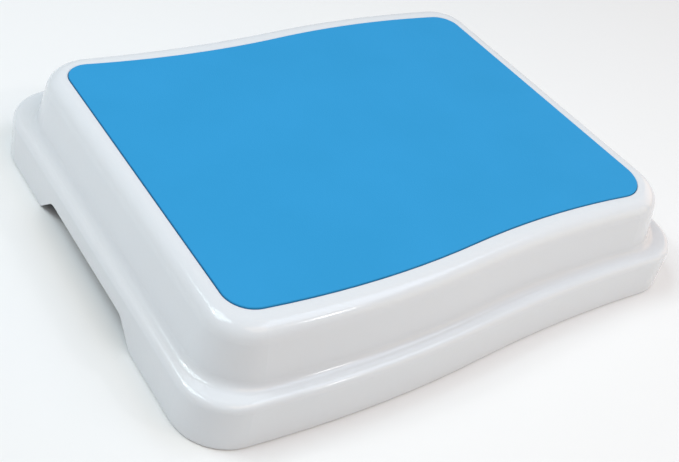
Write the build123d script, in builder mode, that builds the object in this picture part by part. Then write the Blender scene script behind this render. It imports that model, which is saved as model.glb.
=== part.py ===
from build123d import *
import math
import os

# Bath step: a hollow two-tier moulded shell, a soft tread inlaid in its top, and
# four rubber feet pushed into the corners of its skirt.
# The origin is on the floor under the middle of the step, with +X along the step,
# +Y to the back and +Z up.  All sizes are in millimetres.

# Skirt, measured at its foot
LENGTH = 510.0
WIDTH = 396.0  # at the corners, without the bow
HEIGHT = 90.0  # floor to the top of the tread
SKIRT_DRAFT = 2.2  # degrees

# Ledge and upper tier
LEDGE_HEIGHT = 42.0  # floor to the ledge
LEDGE_AT_ENDS = 12.4  # from the skirt's sharp top edge in to the upper tier
LEDGE_AT_SIDES = 13.4
TIER_DRAFT = 11.3  # degrees

# Rim and the recess for the tread
RIM_AT_ENDS = 16.3  # from the upper tier's sharp top edge in to the recess
RIM_AT_SIDES = 17.3
RECESS_DEPTH = 2.2
TREAD_PROUD = 1.0  # how far the tread stands above the rim
TREAD_GAP = 0.6  # clearance between the tread and the wall of its recess

# Outline: straight ends, and long sides that are each an S of two arcs
SKIRT_WAVE = 6.4  # depth of the S
TIER_WAVE = 7.0
SKIRT_BOW = 3.9  # how far the middle of each long side stands out
TIER_BOW = 1.5
TREAD_BOW = 0.0
# Corner radii, in the order front left, front right, back right, back left
SKIRT_CORNERS = (43.0, 46.0, 43.0, 47.0)
TIER_CORNERS = (44.0, 52.0, 42.0, 50.0)
RECESS_CORNERS = (23.5, 31.0, 22.0, 20.5)

# Roundings of the shell
RIM_ROUND = 14.5  # top edge
LEDGE_ROUND = 6.0  # outer edge of the ledge
TIER_FOOT_ROUND = 7.5  # hollow rounding between the ledge and the upper tier
LIP_ROUND = 0.6  # edge of the recess
TREAD_ROUND = 0.9  # top edge of the tread

# Walls and ribs
WALL = 3.0
TOP_PLATE = 3.0  # plastic under the tread
RIB_PITCH = 48.0
RIB_THICKNESS = 2.2
RIB_DEPTH = 20.0

# Hand cut-out in the skirt at each end
CUTOUT_HEIGHT = 20.6  # above the floor
CUTOUT_TOP = 135.0  # width along its top, before its corners are rounded
CUTOUT_FOOT = 179.0  # width at the skirt's foot
CUTOUT_SHIFT = 3.2  # towards the front at the left end and the back at the right end
CUTOUT_ROUND = 13.0  # its upper corners
CUTOUT_FOOT_ROUND = 6.0  # where its sides meet the skirt's foot

# Rubber feet and the pads that they are pushed into
FOOT_PROUD = 1.0  # how far a foot stands below the skirt
FOOT_DIAMETER = 15.0
FOOT_HEAD = 2.5  # thickness of its head
FOOT_ROUND = 0.6
STEM_DIAMETER = 6.0
STEM_GAP = 0.1  # between the stem and its hole, all round
BARB_DIAMETER = 8.0
BARB_HEIGHT = 2.5
FOOT_TO_WALL = 1.5  # between a foot's head and the skirt
PAD_THICKNESS = 3.0
PAD_MARGIN = 2.5  # plastic around a foot's head

RIM_HEIGHT = HEIGHT - TREAD_PROUD
RECESS_FLOOR = RIM_HEIGHT - RECESS_DEPTH
SKIRT_RISE = LEDGE_HEIGHT - FOOT_PROUD
TIER_RISE = RIM_HEIGHT - LEDGE_HEIGHT
CEILING = RECESS_FLOOR - TOP_PLATE
LEDGE_CEILING = LEDGE_HEIGHT - WALL

skirt_inset = SKIRT_RISE * math.tan(math.radians(SKIRT_DRAFT))
TIER_LENGTH = LENGTH - 2 * (skirt_inset + LEDGE_AT_ENDS)
TIER_WIDTH = WIDTH - 2 * (skirt_inset + LEDGE_AT_SIDES)
tier_inset = TIER_RISE * math.tan(math.radians(TIER_DRAFT))
RECESS_LENGTH = TIER_LENGTH - 2 * (tier_inset + RIM_AT_ENDS)
RECESS_WIDTH = TIER_WIDTH - 2 * (tier_inset + RIM_AT_SIDES)

CORNER_SIGNS = ((-1, -1), (1, -1), (1, 1), (-1, 1))
CORNER_NAMES = ("front_left", "front_right", "back_right", "back_left")


def outline(length, width, wave, bow, corners, inset=0.0):
    """The closed outline of one level as a sketch, moved inwards by inset."""
    half_length = length / 2 - inset
    half_width = width / 2 - inset
    slope = 4 * wave / half_length
    with BuildSketch() as level:
        with BuildLine():
            for side in (-1, 1):
                middle = (0, side * (half_width + bow))
                for end in (1, -1):
                    corner = (end * half_length, side * half_width)
                    TangentArc(middle, corner, tangent=(end, end * slope))
            for end in (-1, 1):
                Line((end * half_length, -half_width), (end * half_length, half_width))
        make_face()
        for (x_sign, y_sign), radius in zip(CORNER_SIGNS, corners):
            corner = (x_sign * half_length, y_sign * half_width)
            fillet(level.vertices().sort_by_distance(corner)[0], radius - inset)
    return level.sketch


def skirt_outline(inset=0.0):
    return outline(LENGTH, WIDTH, SKIRT_WAVE, SKIRT_BOW, SKIRT_CORNERS, inset)


def tier_outline(inset=0.0):
    return outline(TIER_LENGTH, TIER_WIDTH, TIER_WAVE, TIER_BOW, TIER_CORNERS, inset)


def recess_outline(inset=0.0):
    return outline(RECESS_LENGTH, RECESS_WIDTH, TIER_WAVE, TREAD_BOW, RECESS_CORNERS, inset)


def foot_places():
    """Middles of the feet: each inside the rounding of its corner, close to the wall."""
    places = []
    for x_sign, y_sign in CORNER_SIGNS:
        corner = (x_sign * LENGTH / 2, y_sign * WIDTH / 2)
        rounding = skirt_outline().edges().sort_by_distance(corner)[0]
        outer = rounding @ 0.5
        inwards = (rounding.arc_center - outer).normalized()
        place = outer + inwards * (WALL + FOOT_TO_WALL + FOOT_DIAMETER / 2)
        places.append((place.X, place.Y))
    return places


os.makedirs("parts", exist_ok=True)

# The space inside the shell.  The ribs and the pads for the feet are cut out of it,
# so they stay joined to the walls when it is taken from the shell.
with BuildPart() as hollow:
    with BuildSketch(Plane.XY.offset(FOOT_PROUD)):
        add(skirt_outline(WALL))
    extrude(amount=LEDGE_CEILING - FOOT_PROUD, taper=SKIRT_DRAFT)
    fillet(hollow.faces().sort_by(Axis.Z)[-1].edges(), LEDGE_ROUND - WALL)
    with BuildSketch(Plane.XY.offset(LEDGE_CEILING)):
        add(tier_outline(WALL))
    extrude(amount=CEILING - LEDGE_CEILING, taper=TIER_DRAFT)
    fillet(hollow.faces().sort_by(Axis.Z)[-1].edges(), RIM_ROUND - WALL)
    with BuildSketch(Plane.XY.offset(CEILING - RIB_DEPTH)):
        with GridLocations(RIB_PITCH, 0, int(TIER_LENGTH // RIB_PITCH), 1):
            Rectangle(RIB_THICKNESS, WIDTH)
        with GridLocations(0, RIB_PITCH, 1, int(TIER_WIDTH // RIB_PITCH)):
            Rectangle(LENGTH, RIB_THICKNESS)
    extrude(amount=RIB_DEPTH, mode=Mode.SUBTRACT)
    pad_radius = FOOT_DIAMETER / 2 + PAD_MARGIN
    with BuildSketch(Plane.XY.offset(FOOT_HEAD)):
        for (x, y), (x_sign, y_sign) in zip(foot_places(), CORNER_SIGNS):
            shift = pad_radius / math.sqrt(2)
            with Locations((x, y)):
                Circle(pad_radius)
            with Locations((x + x_sign * shift, y + y_sign * shift)):
                Rectangle(2 * pad_radius, 2 * pad_radius, rotation=45)
    extrude(amount=PAD_THICKNESS, mode=Mode.SUBTRACT)

# The moulded shell
with BuildPart() as step_body:
    with BuildSketch(Plane.XY.offset(FOOT_PROUD)):
        add(skirt_outline())
    extrude(amount=SKIRT_RISE, taper=SKIRT_DRAFT)
    fillet(step_body.faces().sort_by(Axis.Z)[-1].edges(), LEDGE_ROUND)
    with BuildSketch(Plane.XY.offset(LEDGE_HEIGHT)):
        add(tier_outline())
    extrude(amount=TIER_RISE, taper=TIER_DRAFT)
    fillet(step_body.faces().sort_by(Axis.Z)[-1].edges(), RIM_ROUND)
    ledge = step_body.faces().filter_by(Axis.Z).filter_by_position(
        Axis.Z, LEDGE_HEIGHT - 0.1, LEDGE_HEIGHT + 0.1
    )[0]
    fillet(ledge.inner_wires()[0].edges(), TIER_FOOT_ROUND)
    add(hollow.part, mode=Mode.SUBTRACT)
    with BuildSketch(Plane.XY.offset(RECESS_FLOOR)):
        add(recess_outline())
    extrude(amount=RECESS_DEPTH, mode=Mode.SUBTRACT)
    rim = step_body.faces().sort_by(Axis.Z)[-1]
    fillet(rim.inner_wires()[0].edges(), LIP_ROUND)
    for end in (-1, 1):
        middle = end * CUTOUT_SHIFT
        with BuildSketch(Plane.YZ) as cutout:
            with BuildLine():
                Polyline(
                    (middle - CUTOUT_FOOT / 2, FOOT_PROUD),
                    (middle - CUTOUT_TOP / 2, CUTOUT_HEIGHT),
                    (middle + CUTOUT_TOP / 2, CUTOUT_HEIGHT),
                    (middle + CUTOUT_FOOT / 2, FOOT_PROUD),
                    close=True,
                )
            make_face()
            fillet(cutout.vertices().group_by(Axis.Y)[-1], CUTOUT_ROUND)
        extrude(amount=end * LENGTH, mode=Mode.SUBTRACT)
    fillet(step_body.edges().filter_by(Axis.X).group_by(Axis.Z)[0], CUTOUT_FOOT_ROUND)
    with BuildSketch(Plane.XY.offset(FOOT_HEAD)):
        with Locations(*foot_places()):
            Circle(STEM_DIAMETER / 2 + STEM_GAP)
    extrude(amount=PAD_THICKNESS, mode=Mode.SUBTRACT)
step_body.part.label = "step_body"
export_step(step_body.part, "parts/step_body.step")

# The soft tread, bedded on the floor of the recess
with BuildPart() as tread_mat:
    with BuildSketch(Plane.XY.offset(RECESS_FLOOR)):
        add(recess_outline(TREAD_GAP))
    extrude(amount=HEIGHT - RECESS_FLOOR)
    fillet(tread_mat.faces().sort_by(Axis.Z)[-1].edges(), TREAD_ROUND)
tread_mat.part.label = "tread_mat"
export_step(tread_mat.part, "parts/tread_mat.step")

# The feet: a flat head under the pad, a stem through it and a barb above it
for corner_name, (x, y) in zip(CORNER_NAMES, foot_places()):
    upright = Plane(origin=(x, y, 0), x_dir=(1, 0, 0), z_dir=(0, -1, 0))
    pad_top = FOOT_HEAD + PAD_THICKNESS
    with BuildPart() as foot:
        with BuildSketch(upright):
            with BuildLine():
                Polyline(
                    (0, 0),
                    (FOOT_DIAMETER / 2, 0),
                    (FOOT_DIAMETER / 2, FOOT_HEAD),
                    (STEM_DIAMETER / 2, FOOT_HEAD),
                    (STEM_DIAMETER / 2, pad_top),
                    (BARB_DIAMETER / 2, pad_top),
                    (STEM_DIAMETER / 2, pad_top + BARB_HEIGHT),
                    (0, pad_top + BARB_HEIGHT),
                    close=True,
                )
            make_face()
        revolve(axis=Axis((x, y, 0), (0, 0, 1)))
        fillet(foot.edges().sort_by(Axis.Z)[0], FOOT_ROUND)
    foot.part.label = f"foot_{corner_name}"
    export_step(foot.part, f"parts/foot_{corner_name}.step")
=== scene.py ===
import bpy
import math
import numpy as np
from mathutils import Matrix, Vector


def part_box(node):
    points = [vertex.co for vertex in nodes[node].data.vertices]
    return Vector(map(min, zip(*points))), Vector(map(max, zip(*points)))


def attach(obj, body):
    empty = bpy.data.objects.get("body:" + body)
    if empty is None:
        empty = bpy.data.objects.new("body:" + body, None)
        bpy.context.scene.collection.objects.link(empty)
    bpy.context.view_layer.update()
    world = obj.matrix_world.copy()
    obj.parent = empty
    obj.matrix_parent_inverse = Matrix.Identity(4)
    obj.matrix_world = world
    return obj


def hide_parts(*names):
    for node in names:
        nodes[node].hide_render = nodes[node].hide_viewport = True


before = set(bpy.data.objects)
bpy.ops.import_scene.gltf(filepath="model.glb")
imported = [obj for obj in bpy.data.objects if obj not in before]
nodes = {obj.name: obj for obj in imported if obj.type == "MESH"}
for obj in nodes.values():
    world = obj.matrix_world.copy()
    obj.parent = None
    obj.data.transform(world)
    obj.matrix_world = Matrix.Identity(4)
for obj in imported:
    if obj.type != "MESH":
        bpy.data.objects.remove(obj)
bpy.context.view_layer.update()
MM = 0.001


# The camera looks down on the front left corner from about a metre away, a little
# rolled, the way the step is seen by a person who stands beside the bath.
CAMERA_AZIMUTH = math.radians(-43.17)
CAMERA_ELEVATION = math.radians(38.49)
CAMERA_ROLL = math.radians(15.86)
CAMERA_DISTANCE = 938.5 * MM
CAMERA_ASIDE = -3.6 * MM  # from the middle of the step's foot
CAMERA_ABOVE = -20.2 * MM
LENS = 53.78  # millimetres
SENSOR_WIDTH = 36.0  # millimetres

flat = math.cos(CAMERA_ELEVATION)
back = Vector((
    math.sin(CAMERA_AZIMUTH) * flat,
    -math.cos(CAMERA_AZIMUTH) * flat,
    math.sin(CAMERA_ELEVATION),
))
level_right = Vector((math.cos(CAMERA_AZIMUTH), math.sin(CAMERA_AZIMUTH), 0.0))
level_up = back.cross(level_right)
right = math.cos(CAMERA_ROLL) * level_right + math.sin(CAMERA_ROLL) * level_up
up = math.cos(CAMERA_ROLL) * level_up - math.sin(CAMERA_ROLL) * level_right
eye = CAMERA_ASIDE * right + CAMERA_ABOVE * up + CAMERA_DISTANCE * back

camera = bpy.data.objects.new("camera", bpy.data.cameras.new("camera"))
camera.data.lens = LENS
camera.data.sensor_width = SENSOR_WIDTH
camera.data.clip_start = 0.05
camera.data.clip_end = 20.0
camera.matrix_world = Matrix.Translation(eye) @ Matrix((right, up, back)).transposed().to_4x4()
bpy.context.scene.collection.objects.link(camera)
bpy.context.scene.camera = camera
bpy.context.scene.view_settings.view_transform = "Standard"


# The step's shell is polypropylene, injection moulded in one shot against a polished
# tool, so it is glossy, faintly wavy where it cooled, and a little see-through.
WHITE_PLASTIC = "E1E4E8"
PLASTIC_IOR = 1.49
PLASTIC_ROUGHNESS = (0.10, 0.17)
GLOSS_PATCH = 60.0 * MM  # from one duller place to the next
PEEL_PITCH = 5.0 * MM  # from one low place of the orange peel to the next
PEEL_DEPTH = 1.0 * MM  # before its strength thins it
PEEL_STRENGTH = 0.05
GLOW_SHARE = 0.35  # how much of the light passes under the surface
GLOW_REACH = 4.0 * MM  # how far it spreads there


def linear(srgb):
    """The linear colour, with full alpha, of an sRGB hex value."""
    parts = [int(srgb[i:i + 2], 16) / 255 for i in (0, 2, 4)]
    return [p / 12.92 if p <= 0.04045 else ((p + 0.055) / 1.055) ** 2.4 for p in parts] + [1.0]


def add(tree, kind, inputs, **settings):
    """Adds a node with its settings. Each input is a value, or the socket that feeds it."""
    made = tree.nodes.new(kind)
    for name, value in settings.items():
        setattr(made, name, value)
    for name, value in inputs.items():
        if isinstance(value, bpy.types.NodeSocket):
            tree.links.new(value, made.inputs[name])
        else:
            made.inputs[name].default_value = value
    return made


def new_material(name):
    """A new material, its empty node tree and its object coordinates."""
    material = bpy.data.materials.new(name)
    material.use_nodes = True
    material.node_tree.nodes.clear()
    place = add(material.node_tree, "ShaderNodeTexCoord", {})
    return material, material.node_tree, place.outputs["Object"]


def glossy_polypropylene():
    """Glossy moulded polypropylene.

    It gives the eye a clean white with bright highlights along the roundings, faintly
    broken by orange peel and uneven gloss, and hollows softened by light inside it."""
    material, tree, place = new_material("glossy_moulded_polypropylene")
    patches = add(tree, "ShaderNodeTexNoise", {
        "Vector": place,
        "Scale": 1 / GLOSS_PATCH,
        "Detail": 2.0,
    })
    gloss = add(tree, "ShaderNodeMapRange", {
        "Value": patches.outputs["Fac"],
        "From Min": 0.3,
        "From Max": 0.7,
        "To Min": PLASTIC_ROUGHNESS[0],
        "To Max": PLASTIC_ROUGHNESS[1],
    })
    peel = add(tree, "ShaderNodeTexNoise", {
        "Vector": place,
        "Scale": 1 / PEEL_PITCH,
        "Detail": 1.0,
    })
    relief = add(tree, "ShaderNodeBump", {
        "Height": peel.outputs["Fac"],
        "Strength": PEEL_STRENGTH,
        "Distance": PEEL_DEPTH,
    })
    shader = add(tree, "ShaderNodeBsdfPrincipled", {
        "Base Color": linear(WHITE_PLASTIC),
        "Roughness": gloss.outputs["Result"],
        "IOR": PLASTIC_IOR,
        "Subsurface Weight": GLOW_SHARE,
        "Subsurface Radius": (1.0, 1.0, 1.0),
        "Subsurface Scale": GLOW_REACH,
        "Normal": relief.outputs["Normal"],
    })
    add(tree, "ShaderNodeOutputMaterial", {"Surface": shader.outputs["BSDF"]})
    return material


def give(piece, material):
    """Puts one material on the whole piece."""
    piece.data.materials.clear()
    piece.data.materials.append(material)


give(nodes["step_body"], glossy_polypropylene())


# The tread is a sheet of soft thermoplastic elastomer, cut to the outline of its recess
# and bonded into it by hand, so its top edge is rolled over and it lies a little
# uneven.  A fine pebbled grain keeps a wet foot from slipping.
TREAD_WAVE = 7.0 * MM  # depth of the S of each long side
# Radii of its corners: front left, front right, back right, back left
TREAD_CORNERS = (22.9 * MM, 30.4 * MM, 21.4 * MM, 19.9 * MM)
TREAD_ROUND = 0.9 * MM  # its rolled top edge
TREAD_DIP = 0.15 * MM  # how far its lowest places lie under its edge
TREAD_SWELL = 70.0 * MM  # about how far apart its low places are
TREAD_FADE = 12  # the power by which they die out towards its edge
TREAD_BLUE = "3098D1"
TREAD_SHADE = "2E96CE"
CLOUD_SIZE = 80.0 * MM
GRAIN_PITCH = 1.1 * MM  # drawn coarser than real pebbles, which would be too fine to show
GRAIN_DEPTH = 0.3 * MM
GRAIN_STRENGTH = 0.25
TREAD_ROUGHNESS = 0.7
TREAD_IOR = 1.5
TREAD_SHINE = 0.15  # dulled by the grain, which scatters most of it
CORNER_POINTS = 24
SIDE_POINTS = 130
END_POINTS = 90
ROLL_POINTS = 7
TOP_RINGS = 64


def tread_outline(low, high):
    """The tread's edge, anticlockwise seen from above, inside the box low to high.

    Each long side is an S of two equal arcs.  An arc leaves the side's line at an angle
    whose tangent is four waves over half the length, and comes back to it at the end.
    The ends are straight.  A corner's arc is tangent to its end and to its side."""
    half_length = high[0]
    turn = math.atan(4 * TREAD_WAVE / half_length)
    bend = half_length / (2 * math.sin(turn))
    chord = bend * math.cos(turn)
    half_width = high[1] - (bend - chord)
    corners = []
    for x_sign, y_sign, radius in zip((-1, 1, 1, -1), (-1, -1, 1, 1), TREAD_CORNERS):
        outwards = x_sign * y_sign  # -1 where the side's arc is hollow
        arc = np.array([x_sign * half_length / 2, y_sign * (half_width - outwards * chord)])
        reach = bend - outwards * radius
        across = x_sign * (half_length - radius) - arc[0]
        middle = arc + (across, y_sign * outwards * math.sqrt(reach ** 2 - across ** 2))
        to_side = outwards * (middle - arc)
        angles = [math.atan2(to_side[1], to_side[0]), 0.0 if x_sign > 0 else y_sign * math.pi]
        sweep = np.linspace(*angles[::-outwards], CORNER_POINTS)
        corners.append(middle + radius * np.stack([np.cos(sweep), np.sin(sweep)], axis=1))
    stretches = []
    next_corners = corners[1:] + corners[:1]
    for here, there, count in zip(corners, next_corners, (SIDE_POINTS, END_POINTS) * 2):
        t = np.linspace(0, 1, count + 2)[1:-1, None]
        line = here[-1] + (there[0] - here[-1]) * t
        if count == SIDE_POINTS:
            x = line[:, 0]
            wave = np.sqrt(bend ** 2 - (abs(x) - half_length / 2) ** 2) - chord
            line[:, 1] = np.sign(here[0, 1]) * half_width + np.sign(x) * wave
        stretches += [here, line]
    return np.concatenate(stretches)


def skin(name, rings):
    """A closed mesh through rings of points, from the underside round to the top.

    Each ring runs anticlockwise seen from above.  Neighbouring rings are joined by
    quads, and the first and the last are each closed by a fan to their own middle."""
    count, around = rings.shape[:2]
    here = np.arange(count * around).reshape(count, around)
    after = np.roll(here, -1, axis=1)
    quads = np.stack([here[:-1], after[:-1], after[1:], here[1:]], axis=-1).reshape(-1, 4)
    under, top = count * around, count * around + 1
    fans = [(after[0], here[0], under), (here[-1], after[-1], top)]
    fans = np.concatenate([np.stack(np.broadcast_arrays(*fan), axis=-1) for fan in fans])
    middles = np.stack([rings[0].mean(axis=0), rings[-1].mean(axis=0)])
    mesh = bpy.data.meshes.new(name)
    points = np.concatenate([rings.reshape(-1, 3), middles])
    mesh.from_pydata(points.tolist(), [], quads.tolist() + fans.tolist())
    piece = bpy.data.objects.new(name, mesh)
    bpy.context.scene.collection.objects.link(piece)
    return piece


def bedded_sheet(name):
    """The tread: its outline carried up its wall, over a quarter round and in to the middle.

    A ring is the outline moved inwards along its normals, then scaled about the middle.
    The top dips by a swell, which is the product of two crossed sine waves plus half of
    a third, none of them lined up with an edge.  It fades by a power of the scale."""
    low, high = np.array(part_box("tread_mat"), dtype=float)
    edge = tread_outline(low, high)
    ahead = np.roll(edge, -1, axis=0) - edge
    ahead /= np.linalg.norm(ahead, axis=1, keepdims=True)
    along = ahead + np.roll(ahead, 1, axis=0)
    along /= np.linalg.norm(along, axis=1, keepdims=True)
    inwards = np.stack([-along[:, 1], along[:, 0]], axis=1)
    roll = np.linspace(0, math.pi / 2, ROLL_POINTS)
    inner = 1 - np.linspace(0, 1, TOP_RINGS + 2)[1:-1]
    rolled_in = TREAD_ROUND * (1 - np.cos(roll))
    rolled_up = high[2] - TREAD_ROUND * (1 - np.sin(roll))
    inset = np.concatenate([[0.0], rolled_in, np.full(TOP_RINGS, TREAD_ROUND)])
    height = np.concatenate([[low[2]], rolled_up, np.full(TOP_RINGS, high[2])])
    scale = np.concatenate([np.ones(1 + ROLL_POINTS), inner])
    rings = np.empty((len(scale), len(edge), 3))
    rings[..., :2] = scale[:, None, None] * (edge + inset[:, None, None] * inwards)
    x, y = rings[..., 0] / TREAD_SWELL, rings[..., 1] / TREAD_SWELL
    crossed = np.sin(5.1 * x + 1.7 * y) * np.sin(4.3 * y - 1.3 * x)
    swell = crossed + 0.5 * np.sin(8.7 * x - 3.9 * y + 1.0)  # between -1.5 and 1.5
    away_from_edge = 1 - scale[:, None] ** TREAD_FADE
    rings[..., 2] = height[:, None] - TREAD_DIP * away_from_edge * (swell + 1.5) / 3
    return skin(name, rings)


def grained_elastomer():
    """Thermoplastic elastomer pressed with a pebble grain.

    It gives the eye an even, nearly matt blue without highlights, in which the pigment
    is very faintly clouded."""
    material, tree, place = new_material("grained_thermoplastic_elastomer")
    clouds = add(tree, "ShaderNodeTexNoise", {
        "Vector": place,
        "Scale": 1 / CLOUD_SIZE,
        "Detail": 3.0,
    })
    blend = add(tree, "ShaderNodeMapRange", {
        "Value": clouds.outputs["Fac"], "From Min": 0.35, "From Max": 0.65,
    })
    first, second, mixed = 6, 7, 2  # the colour sockets, which share their names with others
    colour = add(tree, "ShaderNodeMix", {
        "Factor": blend.outputs["Result"],
        first: linear(TREAD_BLUE),
        second: linear(TREAD_SHADE),
    }, data_type="RGBA")
    pebbles = add(tree, "ShaderNodeTexVoronoi", {
        "Vector": place, "Scale": 1 / GRAIN_PITCH,
    }, feature="SMOOTH_F1")
    relief = add(tree, "ShaderNodeBump", {
        "Height": pebbles.outputs["Distance"],
        "Strength": GRAIN_STRENGTH,
        "Distance": GRAIN_DEPTH,
    }, invert=True)
    shader = add(tree, "ShaderNodeBsdfPrincipled", {
        "Base Color": colour.outputs[mixed],
        "Roughness": TREAD_ROUGHNESS,
        "IOR": TREAD_IOR,
        "Specular IOR Level": TREAD_SHINE,
        "Normal": relief.outputs["Normal"],
    })
    add(tree, "ShaderNodeOutputMaterial", {"Surface": shader.outputs["BSDF"]})
    return material


tread = bedded_sheet("tread")
tread.data.shade_smooth()
give(tread, grained_elastomer())
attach(tread, "root")
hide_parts("tread_mat")


# The four feet are moulded from dark grey rubber.  Each is pushed from below through
# the pad in its corner of the skirt, where its barb holds it.
RUBBER_GREY = "3A3B3D"
RUBBER_IOR = 1.52
RUBBER_ROUGHNESS = (0.6, 0.9)
BLOOM_SIZE = 4.0 * MM


def moulded_rubber():
    """Moulded rubber.

    It gives the eye a matt dark grey, patchy where the rubber has bloomed."""
    material, tree, place = new_material("moulded_rubber")
    bloom = add(tree, "ShaderNodeTexNoise", {
        "Vector": place,
        "Scale": 1 / BLOOM_SIZE,
        "Detail": 4.0,
    })
    roughness = add(tree, "ShaderNodeMapRange", {
        "Value": bloom.outputs["Fac"],
        "To Min": RUBBER_ROUGHNESS[0],
        "To Max": RUBBER_ROUGHNESS[1],
    })
    shader = add(tree, "ShaderNodeBsdfPrincipled", {
        "Base Color": linear(RUBBER_GREY),
        "Roughness": roughness.outputs["Result"],
        "IOR": RUBBER_IOR,
    })
    add(tree, "ShaderNodeOutputMaterial", {"Surface": shader.outputs["BSDF"]})
    return material


rubber = moulded_rubber()
for name in sorted(nodes):
    if name.startswith("foot_"):
        give(nodes[name], rubber)


# The floor is a plain white board that reaches far past the step on every side.
FLOOR_WHITE = "F0F0F0"
FLOOR_ROUGHNESS = (0.85, 1.0)
FLOOR_SIZE = 40.0  # metres
FIBRE_SIZE = 2.0 * MM

corners = FLOOR_SIZE / 2 * np.array([(-1, -1, 0), (1, -1, 0), (1, 1, 0), (-1, 1, 0)], float)
board = bpy.data.meshes.new("floor")
board.from_pydata(corners.tolist(), [], [(0, 1, 2, 3)])
floor = bpy.data.objects.new("floor", board)
bpy.context.scene.collection.objects.link(floor)


def white_board():
    """White and matt, with a trace of unevenness."""
    material, tree, place = new_material("white_board")
    fibres = add(tree, "ShaderNodeTexNoise", {
        "Vector": place,
        "Scale": 1 / FIBRE_SIZE,
        "Detail": 2.0,
    })
    roughness = add(tree, "ShaderNodeMapRange", {
        "Value": fibres.outputs["Fac"],
        "To Min": FLOOR_ROUGHNESS[0],
        "To Max": FLOOR_ROUGHNESS[1],
    })
    shader = add(tree, "ShaderNodeBsdfPrincipled", {
        "Base Color": linear(FLOOR_WHITE),
        "Roughness": roughness.outputs["Result"],
        "Specular IOR Level": 0.0,
    })
    add(tree, "ShaderNodeOutputMaterial", {"Surface": shader.outputs["BSDF"]})
    return material


board.materials.append(white_board())


# The light is an even pale surround, five large soft lamps round the step, and two
# small bright ones that put sparkles on its roundings.
SURROUND_WHITE = "FFFFFF"
SURROUND_STRENGTH = 0.4
LAMP_TARGET = (0.0, 0.0, 0.05)
# Each kind of lamp: its elevation in degrees, its distance, its width and its height
LAMP_HIGH = (60.0, 2.0, 1.0, 1.0)
LAMP_LOW = (18.0, 2.2, 1.4, 1.0)
LAMP_SMALL_LEFT = (50.0, 2.2, 0.12, 0.08)
LAMP_SMALL_RIGHT = (43.0, 2.2, 0.12, 0.08)

world = bpy.data.worlds.new("studio")
bpy.context.scene.world = world
world.use_nodes = True
surround = world.node_tree.nodes["Background"].inputs
surround["Color"].default_value = linear(SURROUND_WHITE)
surround["Strength"].default_value = SURROUND_STRENGTH


def soft_light(name, azimuth, reach, radiance):
    """A rectangular lamp, turned to face the step.  Azimuth 0 is in front and 90 at its right.

    Its energy is its radiance times its area times pi."""
    elevation, distance, width, height = reach
    light = bpy.data.objects.new(name, bpy.data.lights.new(name, "AREA"))
    light.data.shape = "RECTANGLE"
    light.data.size = width
    light.data.size_y = height
    brightest = max(radiance)
    light.data.color = [part / brightest for part in radiance]
    light.data.energy = math.pi * width * height * brightest
    a = math.radians(azimuth)
    e = math.radians(elevation)
    towards = Vector((math.sin(a) * math.cos(e), -math.cos(a) * math.cos(e), math.sin(e)))
    place = distance * towards
    turn = (Vector(LAMP_TARGET) - place).to_track_quat("-Z", "Y")
    light.matrix_world = Matrix.Translation(place) @ turn.to_matrix().to_4x4()
    bpy.context.scene.collection.objects.link(light)


soft_light("left_high", 240, LAMP_HIGH, (4.05, 4.79, 5.08))
soft_light("front_high", 0, LAMP_HIGH, (2.10, 1.60, 1.20))
soft_light("right_high", 60, LAMP_HIGH, (2.04, 2.39, 2.94))
soft_light("front_right_low", 45, LAMP_LOW, (0.75, 0.57, 0.27))
soft_light("right_low", 90, LAMP_LOW, (1.08, 0.69, 0.43))
soft_light("sparkle_left", 235, LAMP_SMALL_LEFT, (90.0, 90.0, 90.0))
soft_light("sparkle_right", 31, LAMP_SMALL_RIGHT, (90.0, 90.0, 90.0))
